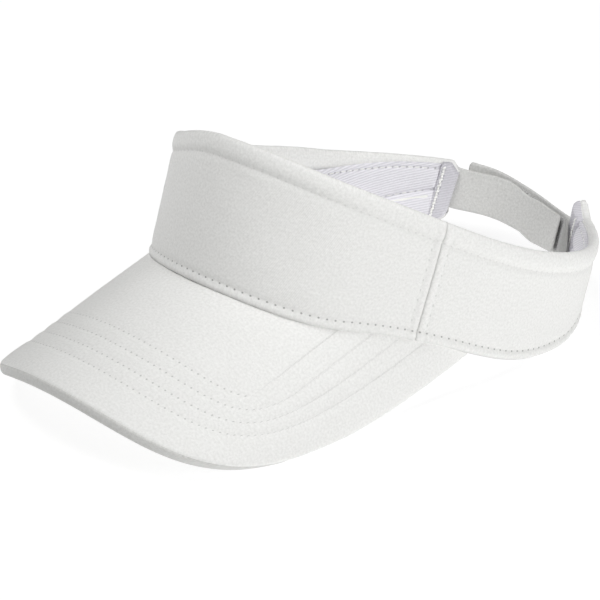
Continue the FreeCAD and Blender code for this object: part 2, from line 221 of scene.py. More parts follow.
def meshObject(name, points, faces, uv=None, attributes=None):
    mesh = bpy.data.meshes.new(name)
    mesh.from_pydata(toRow(points).tolist(), [], faces)
    mesh.update()
    if uv is not None:
        layer = mesh.uv_layers.new(name="cloth")
        loops = np.zeros(len(mesh.loops), int)
        mesh.loops.foreach_get("vertex_index", loops)
        layer.data.foreach_set("uv", np.asarray(uv)[loops].ravel().astype(np.float32))
    for key, values in (attributes or {}).items():
        layer = mesh.attributes.new(key, "FLOAT", "POINT")
        layer.data.foreach_set("value", np.asarray(values, np.float32))
    mesh.polygons.foreach_set("use_smooth", np.ones(len(mesh.polygons), bool))
    thing = bpy.data.objects.new(name, mesh)
    bpy.context.scene.collection.objects.link(thing)
    return thing


def gridFaces(rows, columns, first=0, flip=False):
    index = np.arange(rows * columns).reshape(rows, columns) + first
    quads = np.stack([index[:-1, :-1], index[1:, :-1], index[1:, 1:], index[:-1, 1:]], -1).reshape(-1, 4)
    return (quads[:, ::-1] if flip else quads).tolist()


def clothMesh(name, grid, thickness, uv, flip=False, attributes=None):
    # a closed sheet: the grid is its seen face, the other face lies a thickness behind it
    rows, columns, _ = grid.shape
    normal = gridNormals(grid) * (-1 if flip else 1)
    back = grid - normal * thickness
    count = rows * columns
    faces = gridFaces(rows, columns, 0, flip) + gridFaces(rows, columns, count, not flip)
    index = np.arange(count).reshape(rows, columns)
    rim = np.concatenate([index[0, :], index[1:, -1], index[-1, -2::-1], index[-2:0:-1, 0]])
    for a, b in zip(rim, np.roll(rim, -1)):
        faces.append([int(a), int(b), int(b) + count, int(a) + count][::(-1 if flip else 1)])
    points = np.concatenate([grid.reshape(-1, 3), back.reshape(-1, 3)])
    flat = np.tile(uv.reshape(-1, 2), (2, 1))
    extra = {key: np.tile(np.ravel(value), 2) for key, value in (attributes or {}).items()}
    return meshObject(name, points, faces, flat, extra)


def tubeMesh(name, loops, uv, attributes=None):
    # closed cross-sections joined along the grid's first axis, capped at both ends
    rows, columns, _ = loops.shape
    index = np.arange(rows * columns).reshape(rows, columns)
    wrapped = np.concatenate([index, index[:, :1]], 1)
    quads = np.stack([wrapped[:-1, :-1], wrapped[1:, :-1], wrapped[1:, 1:], wrapped[:-1, 1:]], -1)
    faces = quads.reshape(-1, 4).tolist()
    faces += [index[0].tolist(), index[-1][::-1].tolist()]
    return meshObject(name, loops.reshape(-1, 3), faces, uv.reshape(-1, 2), attributes)


# materials

class Wire:
    # a socket that takes part in Python expressions
    def __init__(self, tree, socket=None):
        self.tree, self.socket = tree, socket

    def node(self, kind, settings=None, inputs=None, output=0):
        made = self.tree.nodes.new(kind)
        for key, value in (settings or {}).items():
            if key == "stops":
                while len(made.color_ramp.elements) < len(value):
                    made.color_ramp.elements.new(0.5)
                for element, (place, shade) in zip(made.color_ramp.elements, value):
                    element.position, element.color = place, (shade, shade, shade, 1)
            else:
                setattr(made, key, value)
        for key, value in (inputs or {}).items():
            if isinstance(value, Wire):
                self.tree.links.new(value.socket, made.inputs[key])
            else:
                made.inputs[key].default_value = value
        return Wire(self.tree, made.outputs[output])

    def maths(self, operation, *terms):
        return self.node("ShaderNodeMath", {"operation": operation}, dict(enumerate(terms)))

    def sine(self):
        return self.maths("SINE", self)

    def __add__(self, other):
        return self.maths("ADD", self, other)

    def __mul__(self, other):
        return self.maths("MULTIPLY", self, other)

    def __sub__(self, other):
        return self.maths("SUBTRACT", self, other)

    def __rsub__(self, other):
        return self.maths("SUBTRACT", other, self)

    __radd__, __rmul__ = __add__, __mul__

    def mix(self, low, high):
        # colours between two, by this value
        return self.node("ShaderNodeMix", {"data_type": "RGBA"}, {0: self, 6: low, 7: high}, 2)


def startMaterial(name):
    material = bpy.data.materials.new(name)
    material.use_nodes = True
    shader = material.node_tree.nodes["Principled BSDF"]
    return material, Wire(material.node_tree), shader


def finishMaterial(wires, shader, colour, height, settings):
    tree = wires.tree
    for key, value in settings.get("shader", {}).items():
        shader.inputs[key].default_value = value
    tree.links.new(colour.socket, shader.inputs["Base Color"])
    inputs = {"Height": height, "Strength": settings["relief"], "Distance": settings["reliefDepth"]}
    normal = wires.node("ShaderNodeBump", None, inputs)
    tree.links.new(normal.socket, shader.inputs["Normal"])


def clothMaterial(settings):
    # brushed twill: slanted ribs crossed by finer yarns, with needle holes along the sewn rows; painted
    # shade darkens the holes and, by an attribute, the seams, joints and edges
    material, wires, shader = startMaterial(settings["name"])
    place = wires.node("ShaderNodeUVMap", {"uv_map": "cloth"})
    split = wires.node("ShaderNodeSeparateXYZ", None, {0: place})
    lengthways = Wire(wires.tree, split.socket.node.outputs[0])
    across = Wire(wires.tree, split.socket.node.outputs[1])
    soft = wires.node("ShaderNodeTexNoise", None, {"Vector": place, "Scale": 0.55, "Detail": 3.0})
    rib, lean, wander = 2 * math.pi / settings["ribPitch"], settings["ribLean"], soft * settings["wander"]
    ribs = (lengthways * (rib * math.cos(lean)) + across * (rib * math.sin(lean)) + wander).sine()
    yarns = (across * (rib * math.cos(lean) * 2.1) - lengthways * (rib * math.sin(lean) * 2.1)).sine()
    weave = ribs * 0.35 + yarns * 0.15 + 0.5
    mottle = wires.node("ShaderNodeTexNoise", None,
                        {"Vector": place, "Scale": settings["mottleScale"], "Detail": 4.0, "Roughness": 0.6})
    broad = wires.node("ShaderNodeTexNoise", None, {"Vector": place, "Scale": 0.06, "Detail": 2.0})
    # painted shade: an attribute that darkens the cloth along seams, joints, the hem channel and the bill's
    # edge strip
    crease = wires.node("ShaderNodeAttribute", {"attribute_name": "crease"}, None, 2)
    rowAcross = wires.node("ShaderNodeAttribute", {"attribute_name": "rowAcross"}, None, 2)
    rowAlong = wires.node("ShaderNodeAttribute", {"attribute_name": "rowAlong"}, None, 2)
    phase = wires.maths("FRACT", rowAlong + 0.5) - 0.5
    reach = phase * phase * settings["holeAlong"] + rowAcross * rowAcross * settings["holeAcross"]
    reach = wires.maths("SQRT", reach)
    # painted shade: the needle holes are darkened in the colour, by a weight given for each row, besides
    # their dent in the bump
    hole = wires.node("ShaderNodeMapRange", {"interpolation_type": "SMOOTHSTEP"},
                      {0: reach, 1: 0.55, 2: 1.35, 3: 1.0, 4: 0.0})
    hole = hole * wires.node("ShaderNodeAttribute", {"attribute_name": "rowDark"}, None, 2)
    shade = mottle * settings["mottle"] + weave * settings["weaveShade"]
    shade = shade + broad * 0.10 + settings["lightness"]
    colour = shade.mix(settings["dark"], settings["light"])
    colour = (crease * settings["paintedShadeStrength"]).mix(colour, settings["paintedShadeColour"])
    colour = (hole * settings["holeShade"]).mix(colour, settings["holeShadeColour"])
    height = weave * settings["weaveHeight"] + mottle * (1 - settings["weaveHeight"])
    height = height - hole * settings["holeDepth"]
    finishMaterial(wires, shader, colour, height, settings)
    return material


cottonCloth = {
    "name": "brushedCotton", "ribPitch": 0.62, "ribLean": 0.75, "wander": 2.2,
    "mottleScale": 0.9, "mottle": 1.25, "weaveShade": 0.12, "weaveHeight": 0.45,
    "dark": (0.66, 0.66, 0.64, 1), "light": (0.92, 0.92, 0.905, 1),
    # colour and strength of the painted shade at seams, joints and edges
    "paintedShadeStrength": 0.5, "paintedShadeColour": (0.50, 0.50, 0.49, 1), "lightness": -0.08,
    "holeAlong": 62.0, "holeAcross": 4.6, "holeDepth": 2.4,
    # painted shade in the needle holes
    "holeShade": 0.8, "holeShadeColour": (0.27, 0.27, 0.26, 1),
    "relief": 0.35, "reliefDepth": 0.00025,
    "shader": {"Roughness": 0.92, "Sheen Weight": 0.25, "Sheen Roughness": 0.5, "Specular IOR Level": 0.15},
}
sweatbandCloth = {
    **cottonCloth, "name": "sweatbandTwill", "ribPitch": 1.15, "ribLean": 1.15, "wander": 1.2,
    "mottle": 0.35, "weaveShade": 0.75, "weaveHeight": 0.8,
    "dark": (0.54, 0.53, 0.57, 1), "light": (0.86, 0.85, 0.89, 1), "lightness": 0.05,
    "paintedShadeColour": (0.48, 0.47, 0.51, 1), "relief": 0.6,
}
# painted shade: the sweatband twill made darker for both end bindings, standing in for the shade that falls
# on the left one
bindingCloth = {
    **sweatbandCloth, "name": "bindingTwill", "weaveShade": 0.4, "mottle": 0.5,
    "dark": (0.44, 0.43, 0.47, 1), "light": (0.76, 0.75, 0.79, 1),
}
# the straps' own light grey, made darker still as painted shade for their place inside the band
strapCloth = {
    **cottonCloth, "name": "strapCotton",
    "dark": (0.44, 0.44, 0.42, 1), "light": (0.74, 0.74, 0.725, 1),
}
# painted shade: a dark grey copy of the cotton for the sweatband's turned-back end, standing in for the deep
# shade between the strap and the left binding
tongueShadeCloth = {
    **cottonCloth, "name": "tongueShadedCotton",
    "dark": (0.24, 0.24, 0.23, 1), "light": (0.42, 0.42, 0.41, 1),
}
# painted shade: the panel cotton made darker for the bill's underside and edge strip, which lie in shade
underCloth = {
    **cottonCloth, "name": "underBillCotton",
    "dark": (0.48, 0.48, 0.46, 1), "light": (0.72, 0.72, 0.705, 1),
}
tapeFuzz = {
    **cottonCloth, "name": "loopPile", "mottleScale": 1.3, "mottle": 2.4, "lightness": -0.75,
    "dark": (0.20, 0.20, 0.20, 1), "light": (0.80, 0.80, 0.80, 1),
    "relief": 0.9, "reliefDepth": 0.0006,
}


def plainMaterial(name, colour, roughness, sheen=0.0):
    material, _, shader = startMaterial(name)
    shader.inputs["Base Color"].default_value = (*colour, 1)
    shader.inputs["Roughness"].default_value = roughness
    shader.inputs["Sheen Weight"].default_value = sheen
    return material


cotton = clothMaterial(cottonCloth)
twill = clothMaterial(sweatbandCloth)
bindingTwill = clothMaterial(bindingCloth)
strapCotton = clothMaterial(strapCloth)
tongueShadedCotton = clothMaterial(tongueShadeCloth)
underCotton = clothMaterial(underCloth)
pile = clothMaterial(tapeFuzz)
threadWhite = plainMaterial("threadWhite", (0.88, 0.88, 0.86), 0.6, 0.3)
threadGrey = plainMaterial("threadGrey", (0.74, 0.74, 0.72), 0.7, 0.3)
foamMaterial = plainMaterial("softFoam", (0.85, 0.85, 0.82), 0.9)
hookPlastic = plainMaterial("hookPlastic", (0.72, 0.72, 0.72), 0.45)


def finishPiece(thing, material, slot, body, *nodes):
    thing.data.materials.append(material)
    if body:
        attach(thing, body)
    if nodes:
        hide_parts(*nodes)
    return thing


# rows of stitching: each row is a distance field over the cloth it is sewn into

def nearestRow(rows, shape):
    # of several (across, along, pitch, painted needle-hole shade) fields, the closest one at every point
    across, lengthways, dark = np.full(shape, 99.0), np.zeros(shape), np.zeros(shape)
    for a, l, stitch, shade in rows:
        a, l = np.broadcast_to(a, shape), np.broadcast_to(l, shape)
        closer = np.abs(a) < np.abs(across)
        across = np.where(closer, a, across)
        lengthways = np.where(closer, l / stitch, lengthways)
        dark = np.where(closer, shade, dark)
    return {"rowAcross": across, "rowAlong": lengthways, "rowDark": dark}


def plainFields(shape):
    # cloth with no row of stitching near it
    return {"rowAcross": np.full(shape, 99.0)}


def padFields(fields, extra):
    # the same fields with plain cloth added after them along the second axis
    blank = {"rowAcross": 99.0, "rowAlong": 0.0, "rowDark": 0.0}
    return {k: np.concatenate([v, np.full((v.shape[0], extra), blank[k])], 1) for k, v in fields.items()}


def stitchMesh(name, points, normals, width, lift, fill=0.78, twist=0.0):
    # one rounded stitch between each pair of neighbouring needle holes
    rings, sides = 9, 8
    loops, faces = [], []
    for i in range(len(points) - 1):
        a, b, n = points[i], points[i + 1], normals[i]
        run = b - a
        length = np.linalg.norm(run)
        if length < 1e-6:
            continue
        run = run / length
        n = n - run * np.dot(n, run)
        n = n / np.linalg.norm(n)
        side = np.cross(run, n)
        middle, half = (a + b) / 2, length * fill / 2
        first = len(loops)
        for j in range(rings):
            t = -1 + 2 * j / (rings - 1)
            thick = width / 2 * math.sqrt(max(1 - t ** 4, 0.03))
            raised = lift * (1 - t * t) - width * 0.25 * t * t
            centre = middle + run * half * t + n * raised + side * twist * t
            for k in range(sides):
                turn = 2 * math.pi * k / sides
                loops.append(centre + side * thick * math.cos(turn) + n * thick * 0.8 * math.sin(turn))
        for j in range(rings - 1):
            for k in range(sides):
                p, q = first + j * sides + k, first + j * sides + (k + 1) % sides
                faces.append([p, q, q + sides, p + sides])
        faces.append([first + k for k in range(sides)][::-1])
        faces.append([first + (rings - 1) * sides + k for k in range(sides)])
    return meshObject(name, np.array(loops), faces)


# panels of the band

panel = {
    "columnStep": 0.8, "faceRows": 92, "rollRadius": 1.15, "rollRows": 10, "lipRadius": 0.8,
    "hemPuff": 0.65, "channel": 0.42, "channelWidth": 1.7, "lowChannel": 0.3, "lipPuff": 0.5, "lean": 2.3,
    "seamRidge": 0.4, "wave": 0.35, "waveLength": 60.0, "seamGap": 0.1, "seamLean": 22.0, "endLean": 1.6,
    "topPitch": 3.7, "lowPitch": 3.7, "seamPitch": 4.4, "endZone": 14.0,
}
seamAt = along(band["seamTurn"])
endAt = along(band["endTurn"])
rowEnd = endAt - 2.5


def endLean(z, t, b):
    # the panels' rear ends lean a little and their corners are rounded off
    up = (z - b) / (t - b)
    return panel["endLean"] * (up - 0.5)


def shearAt(s, z, t, b):
    # the panels lean off the upright near their seams
    lean = panel["lean"] * (0.3 - (t - z) / (t - b))
    return np.sign(s) * lean * bump(np.abs(s), seamAt, panel["seamLean"])


def faceDepth(s, z, t, b):
    # how far the seen face lies inside the panels' plan line
    below, above = t - z, z - b
    sAbs = np.abs(s)
    depth = np.zeros(np.broadcast(s, z).shape)
    hemFill = np.clip(below / band["hem"], 0, 1)
    depth = depth - panel["hemPuff"] * np.sin(math.pi * hemFill) ** 0.8 * (below < band["hem"])
    depth = depth + panel["channel"] * bump(below, band["hem"], panel["channelWidth"])
    depth = depth + panel["lowChannel"] * bump(above, band["lowRow"], panel["channelWidth"])
    lipFill = np.clip(above / band["lowRow"], 0, 1)
    depth = depth - panel["lipPuff"] * np.sin(math.pi * lipFill) * (above < band["lowRow"])
    for row in (-band["seamRow"], band["seamRow"]):
        depth = depth + 0.25 * bump(sAbs, seamAt + row, 0.9)
    depth = depth - panel["seamRidge"] * (bump(sAbs, seamAt - 1.7, 1.5) + bump(sAbs, seamAt + 1.7, 1.5))
    depth = depth + 0.7 * bump(sAbs, seamAt, 0.45)
    depth = depth + 0.3 * bump(sAbs, rowEnd, 0.8)
    middle = np.clip(np.minimum(below, above) / 12, 0, 1)
    depth = depth + panel["wave"] * smoothNoise(s, z, 11, panel["waveLength"]) * middle
    depth = depth + 0.12 * smoothNoise(s * 0.7, z * 1.3, 12, 14.0) * middle
    # tiny puckers between the stitches of the top and bottom rows
    topPucker, lowPucker = (np.cos(2 * math.pi * s / panel[key]) for key in ("topPitch", "lowPitch"))
    depth = depth + 0.10 * topPucker * bump(below, band["hem"] - 1.2, 1.6)
    return depth + 0.08 * lowPucker * bump(above, band["lowRow"] - 1.2, 1.4)


def panelEdges(s):
    _, y = planPoint(s)
    return topLine(s, y) + 0.3, bottomLine(s)


def panelRows(s, z, t, b):
    below, above, sAbs = t - z - band["hem"], z - b - band["lowRow"], np.abs(s)
    # the last number of each row is how much painted shade its needle holes get
    rows = [(below, s, panel["topPitch"], 0.22), (above, s, panel["lowPitch"], 1.0)]
    inside = (t - z > band["hem"]) & (z - b > band["lowRow"])
    for row, dark in ((seamAt - band["seamRow"], 0.3), (seamAt + band["seamRow"], 0.3), (rowEnd, 0.5)):
        rows.append((np.where(inside, sAbs - row, 99.0), below, panel["seamPitch"], dark))
    return rows


def makePanel(name, start, stop):
    count = int((stop - start) / panel["columnStep"])
    s = np.linspace(start, stop, count + 1)[:, None]
    t, b = panelEdges(s)
    r, lip = panel["rollRadius"], panel["lipRadius"]
    tilt = np.linspace(math.pi, math.pi / 2, 7)[None, :-1]
    lipZ, lipD = b + lip - lip * np.sin(tilt), lip + lip * -np.cos(tilt - math.pi) * -1
    face = np.linspace(0, 1, panel["faceRows"])[None, :]
    faceZ = b + lip + (t - r - b - lip) * face
    faceD = np.zeros_like(faceZ)
    roll = np.linspace(0, math.pi, panel["rollRows"])[None, 1:]
    rollZ, rollD = t - r + r * np.sin(roll), r - r * np.cos(roll)
    tailZ, tailD = t - r - np.array([[0.8, 1.6]]), np.full((len(s), 2), 2 * r)
    z = np.concatenate([lipZ * np.ones_like(tilt), faceZ, rollZ * np.ones_like(roll), tailZ], 1)
    d = np.concatenate([lipD * np.ones_like(s), faceD, rollD * np.ones_like(s), tailD], 1)
    strength = np.concatenate([np.ones_like(lipZ), np.ones_like(faceZ), np.cos(roll) * np.ones_like(s),
                               np.zeros_like(tailZ)], 1)
    sAll = np.broadcast_to(s, z.shape).copy()
    ends = np.abs(np.abs(sAll) - endAt) < panel["endZone"]
    sAll = sAll + shearAt(s, z, t, b)
    part = np.clip((np.abs(sAll) - endAt) / panel["endZone"] + 1, 0, 1)
    sAll = sAll + np.sign(sAll) * np.where(ends, endLean(z, t, b) * part, 0)
    d = d + faceDepth(s, z, t, b) * np.clip(strength, 0, 1)
    d = d + 0.55 * np.exp(-(np.abs(np.abs(s) - endAt)) / 0.7)
    x, y = planPoint(sAll, d)
    grid = np.stack([x, y, z], -1)
    fields = nearestRow(panelRows(s, z, t, b), z.shape)
    fields["rowAcross"] = np.where(strength > 0.9, fields["rowAcross"], 99.0)
    # painted shade: darker at the seam gap, along the bottom edge over the bill, in the hem channel and
    # along the bottom row
    gap = np.abs(np.abs(s) - seamAt)
    crease = bump(gap, 0, 0.5) * 0.9 + 0.6 * bump(z - b, 0, 0.8) + 0.18 * bump(t - z, band["hem"] + 0.4, 1.6)
    crease = np.clip(crease + 0.15 * bump(z - b, band["lowRow"], 1.2), 0, 1) * np.ones_like(z)
    uv = np.stack([sAll, z], -1)
    return clothMesh(name, grid, band["ply"], uv, True, {**fields, "crease": crease})


frontPanel = makePanel("frontPanel", -seamAt + panel["seamGap"], seamAt - panel["seamGap"])
finishPiece(frontPanel, cotton, "cotton_twill", "visor", "front_panel")
leftPanel = makePanel("leftSidePanel", seamAt + panel["seamGap"], endAt)
finishPiece(leftPanel, cotton, "cotton_twill", "visor", "left_side_panel")
rightPanel = makePanel("rightSidePanel", -endAt, -seamAt - panel["seamGap"])
finishPiece(rightPanel, cotton, "cotton_twill", "visor", "right_side_panel")
print("panels", len(frontPanel.data.vertices))


def facePoint(s, z):
    t, b = panelEdges(s)
    part = np.clip((np.abs(s) - endAt) / panel["endZone"] + 1, 0, 1)
    shear = shearAt(s, z, t, b) + np.sign(s) * endLean(z, t, b) * part
    x, y = planPoint(s + shear, faceDepth(s, z, t, b))
    return np.stack([x, y, z], -1)


def outward(s):
    near, far = np.stack(planPoint(s, 1.0), -1), np.stack(planPoint(s, 0.0), -1)
    return np.concatenate([far - near, np.zeros((len(s), 1))], 1)


threads = {"width": 0.62, "lift": 0.16, "fill": 0.74}


def panelStitches(name, s, z):
    return stitchMesh(name, facePoint(s, z), outward(s), threads["width"], threads["lift"], threads["fill"])


def levelRow(name, margin, below, spacing):
    s = np.arange(math.ceil(-rowEnd / spacing), math.floor(rowEnd / spacing) + 1) * spacing
    top, bottom = panelEdges(s)
    z = top - margin if below else bottom + margin
    return panelStitches(name, s, z)


def uprightStitches(name, at):
    t, b = (edge[0] for edge in panelEdges(np.array([at])))
    z = np.arange(t - band["hem"] - 0.4, b + band["lowRow"] + 0.5, -panel["seamPitch"])
    return panelStitches(name, np.full(len(z), at), z)


finishPiece(levelRow("topStitches", band["hem"], True, panel["topPitch"]),
            threadWhite, "thread", "visor", "top_edge_stitching")
finishPiece(levelRow("lowStitches", band["lowRow"], False, panel["lowPitch"]),
            threadGrey, "thread", "visor", "bottom_edge_stitching")
for side, sign in (("left", 1), ("right", -1)):
    for place, offset in (("front", -1), ("back", 1)):
        at = sign * (seamAt + offset * band["seamRow"])
        row = uprightStitches(f"{side}Seam{place.title()}Stitches", at)
        finishPiece(row, threadWhite, "thread", "visor", f"{side}_seam_stitching_{place}")
    row = uprightStitches(f"{side}EndStitches", sign * rowEnd)
    finishPiece(row, threadWhite, "thread", "visor", f"{side}_end_stitching")
print("panel stitches")


def makeStrip(name, start, stop, low, high, depth, thickness, rows=16, inward=True, fields=None, wave=0.15):
    # a plain strip between two height functions, seen from the inside or the outside
    s = np.linspace(start, stop, int(abs(stop - start) / 1.5) + 2)[:, None]
    _, y = planPoint(s)
    v = np.linspace(0, 1, rows)[None, :]
    z = low(s, y) + (high(s, y) - low(s, y)) * v
    d = depth + wave * smoothNoise(s, z, 21, 30.0) * np.sin(math.pi * v) + 0 * z
    if fields:
        d = d + fields(s, z, y)
    x, yy = planPoint(np.broadcast_to(s, z.shape), d)
    grid = np.stack([x, yy, z], -1)
    uv = np.stack([np.broadcast_to(s, z.shape), z], -1)
    blank = {"rowAcross": np.full(z.shape, 99.0), "rowAlong": np.zeros(z.shape), "crease": np.zeros(z.shape)}
    return clothMesh(name, grid, thickness, uv, not inward, blank)


facing = {"height": 24.0, "ply": 0.5, "rows": 40, "top": 0.75, "seamGap": 0.3, "endGap": 0.8}


def facingLow(s, y):
    return np.maximum(topLine(s, y) - facing["height"], bottomLine(s) + 4)


def facingHigh(s, y):
    return topLine(s, y) - facing["top"]


rollInner = 2 * panel["rollRadius"] + 0.25


def facingHem(s, z, y):
    below = topLine(s, y) - z
    swell = 0.35 * np.sin(math.pi * np.clip(below / band["hem"], 0, 1)) * (below < band["hem"])
    return swell - 0.3 * bump(below, band["hem"], 0.9) - 0.75 * np.clip((below - 10) / 12, 0, 1)


def makeFacing(name, start, stop, node):
    edges = facingLow, facingHigh
    strip = makeStrip(name, start, stop, *edges, rollInner, facing["ply"], facing["rows"], True, facingHem)
    return finishPiece(strip, cotton, "cotton_twill", "visor", node)


frontEdge = seamAt - facing["seamGap"]
seamEdge, endEdge = seamAt + facing["seamGap"], endAt - facing["endGap"]
frontFacing = makeFacing("frontFacing", -frontEdge, frontEdge, "front_lining")
leftFacing = makeFacing("leftFacing", seamEdge, endEdge, "left_lining")
rightFacing = makeFacing("rightFacing", -endEdge, -seamEdge, "right_lining")
interlining = makeStrip("frontBacking", -seamAt + 1, seamAt - 1, lambda s, y: bottomHeight(s) + 2,
                        lambda s, y: topLine(s, y) - 2.5, 1.0, 0.4, 10, True, None, 0.0)
finishPiece(interlining, foamMaterial, "interlining", "visor", "front_interlining")
print("linings")


# sweatband: two padded bands of twill

sweat = {
    "outer": 2.95, "inner": 5.0, "lowerPuff": 1.5, "upperPuff": 1.0, "rowLift": 15.0, "edgeRow": 2.5,
    "turn": 149.0, "poles": (36.0, 33.0, 14.0, 41.0), "step": 0.9, "rows": 64, "pitch": 3.4,
}
sweatEnd = along(sweat["turn"])


def sweatLine(s, y):
    rise = ease((np.abs(s) - 170) / 75)
    return poleHeight(sweat["poles"], y) * (1 - rise) + (topLine(s, y) - 1.2) * rise


def sweatDepth(s, z, top, low):
    mid = low + sweat["rowLift"]
    edge = top - sweat["edgeRow"]
    lower = np.clip((z - low) / (mid - low), 0, 1)
    upper = np.clip((z - mid) / np.maximum(edge - mid, 0.5), 0, 1)
    room = np.clip((edge - mid) / 8, 0, 1)
    depth = sweat["inner"] + sweat["lowerPuff"] * np.sin(math.pi * lower) ** 0.7 * (z < mid)
    depth = depth + sweat["upperPuff"] * room * np.sin(math.pi * upper) ** 0.7 * (z >= mid)
    depth = depth - 0.5 * bump(z, mid, 0.8) - 0.4 * bump(z, edge, 0.6)
    return depth + 0.22 * smoothNoise(s, z, 31, 22.0) + 0.12 * smoothNoise(s, z * 0.4, 32, 7.0)


def makeSweatband():
    s = np.linspace(-sweatEnd, sweatEnd, int(2 * sweatEnd / sweat["step"]))[:, None]
    _, y = planPoint(s)
    low, top = bottomLine(s) + 0.4, sweatLine(s, y)
    v = np.linspace(0, 1, sweat["rows"])[None, :]
    z = low + (top - low) * v
    inner = sweatDepth(s, z, top, low)
    edge = roundOff(np.minimum(z - low, top - z), 1.1)
    outer = np.full_like(inner, sweat["outer"])
    middle = (inner + outer) / 2
    inner, outer = middle + (inner - middle) * edge, middle - (middle - outer) * edge
    ends = roundOff(sweatEnd - np.abs(s), 1.5, 0.02)
    inner, outer = middle + (inner - middle) * ends, middle + (outer - middle) * ends
    depth = bothFaces(inner, outer)
    height = bothFaces(z, z)
    sAll = np.broadcast_to(s, depth.shape)
    x, yy = planPoint(sAll, depth)
    rows = [(z - low - sweat["rowLift"], s, sweat["pitch"], 0.35),
            (top - z - sweat["edgeRow"], s, sweat["pitch"], 0.6)]
    fields = padFields(nearestRow(rows, z.shape), z.shape[1])
    uv = np.stack([sAll, height], -1)
    return tubeMesh("sweatband", np.stack([x, yy, height], -1)[:, ::-1], uv[:, ::-1],
                    {k: v[:, ::-1].ravel() for k, v in fields.items()})


sweatband = makeSweatband()
finishPiece(sweatband, twill, "sweatband_twill", "visor", "sweatband_cover")


def sweatRow(name, edge):
    spacing = sweat["pitch"]
    s = np.arange(math.ceil((4 - sweatEnd) / spacing), math.floor((sweatEnd - 4) / spacing) + 1) * spacing
    _, y = planPoint(s)
    low, top = bottomLine(s) + 0.4, sweatLine(s, y)
    z = top - sweat["edgeRow"] if edge else low + sweat["rowLift"]
    x, y = planPoint(s, sweatDepth(s, z, top, low))
    return stitchMesh(name, np.stack([x, y, z], -1), -outward(s), 0.55, 0.14, 0.78)


for place, edge in (("edge", True), ("middle", False)):
    row = sweatRow(f"sweatband{place.title()}Stitches", edge)
    finishPiece(row, threadWhite, "thread", "visor", f"sweatband_{place}_stitching")

binding = {
    "width": 9.0, "inner": 6.3, "outer": 0.7, "columns": 26, "rows": 60,
    "stitch": 6.9, "stitches": 18, "over": 0.5,
}


def bindingFace(e, v, sign):
    # e runs inwards from the end of the band, v from its bottom to its top
    s = sign * (endAt + binding["over"] - e)
    _, y = planPoint(s)
    low, high = bottomLine(s) + 0.25, topLine(s, y) - 0.15
    z = low + (high - low) * v
    s = s + sign * endLean(z, high, low)
    near = np.minimum(z - low, high - z)
    rim, tip = roundOff(near, 1.6, 0.02), roundOff(e, 1.8, 0.02)
    back = np.sqrt(np.clip((binding["width"] - e) / 0.9, 0.05, 1))
    swell = 0.35 * np.sin(math.pi * np.clip(e / binding["stitch"], 0, 1))
    swell = swell - 0.55 * bump(e, binding["stitch"], 0.8)
    swell = swell + 0.3 * smoothNoise(e * 2, z, 71 + sign, 14.0)
    middle = (binding["inner"] + binding["outer"]) / 2
    half = (binding["inner"] - binding["outer"]) / 2
    inner = middle + (half + swell) * rim * tip * back
    outer = middle - half * rim * tip
    return s, z, inner, outer


def makeBinding(name, sign):
    e = np.linspace(0.02, binding["width"], binding["columns"])[:, None]
    v = np.linspace(0, 1, binding["rows"])[None, :]
    s, z, inner, outer = bindingFace(e + 0 * v, v + 0 * e, sign)
    depth = bothFaces(inner, outer)
    height = bothFaces(z, z)
    place = bothFaces(s, s)
    x, y = planPoint(place, depth)
    loops = np.stack([x, y, height], -1)
    fields = {"rowAcross": np.full(depth.size, 99.0), "rowAlong": np.zeros(depth.size)}
    return tubeMesh(name, loops if sign > 0 else loops[:, ::-1], np.stack([place, height], -1), fields)


def bindingStitches(name, sign):
    v = np.linspace(0.07, 0.93, binding["stitches"])
    points, normals = [], []
    for i in range(binding["stitches"]):
        e = np.array([binding["stitch"] + 0.35 * (-1) ** i])
        s, z, inner, _ = bindingFace(e, np.array([v[i]]), sign)
        x, y = planPoint(s, inner + 0.1)
        points.append([x[0], y[0], z[0]])
        normals.append(-outward(s)[0])
    return stitchMesh(name, np.array(points), np.array(normals), 1.15, 0.35, 1.25, 0.25)


def makeTongue(name):
    # the turned-back end of the sweatband, standing a little away from the left binding
    e = np.linspace(-1.5, 10.0, 30)[:, None]
    v = np.linspace(0, 1, 30)[None, :]
    s = endAt + binding["over"] - e
    _, y = planPoint(s)
    low = bottomLine(np.minimum(s, endAt - 4)) + 0.6
    tall = (topLine(s, y) - low) * (0.25 + 0.55 * np.sqrt(np.clip(1 - ((e - 4.4) / 6.2) ** 2, 0, 1)))
    z = low + tall * v
    lean = 1.8 * v * (1 - v) + 1.6 * np.sin(math.pi * np.clip((e + 1.5) / 11.5, 0, 1)) + 0.9 * v
    x, yy = planPoint(s + 0 * z, 6.9 + lean)
    grid = np.stack([x, yy, z], -1)
    uv = np.stack([s + 0 * z, z], -1)
    return clothMesh(name, grid, 0.8, uv, False, plainFields(z.shape))


tongue = finishPiece(makeTongue("leftTongue"), tongueShadedCotton, "sweatband_twill", "visor")
leftBinding = finishPiece(makeBinding("leftBinding", 1), bindingTwill, "sweatband_twill", "visor")
rightBinding = finishPiece(makeBinding("rightBinding", -1), bindingTwill, "sweatband_twill", "visor")
for side, sign in (("left", 1), ("right", -1)):
    finishPiece(bindingStitches(f"{side}BindingStitches", sign), threadWhite, "thread", "visor")
foamCore = makeStrip("foamCore", -sweatEnd + 3, sweatEnd - 3, lambda s, y: bottomHeight(s) + 2,
                     lambda s, y: bottomHeight(s) + 13, 4.9, 1.2, 6, True, None, 0.0)
finishPiece(foamCore, foamMaterial, "foam", "visor", "sweatband_foam")
print("sweatband")


# bill

def edgeCurve(inset):
    tip = np.array([bill["length"] - inset, 0.0])
    side = np.array([-bill["rear"], bill["drop"] - inset])
    tipPole = tip + np.array([-bill["tipSlant"], 1]) * bill["tipPull"]
    poles = [tip, tipPole, side + np.array([bill["sidePull"], 0]), side]
    return curveAt(np.linspace(0, 1, 400)[:, None], poles)


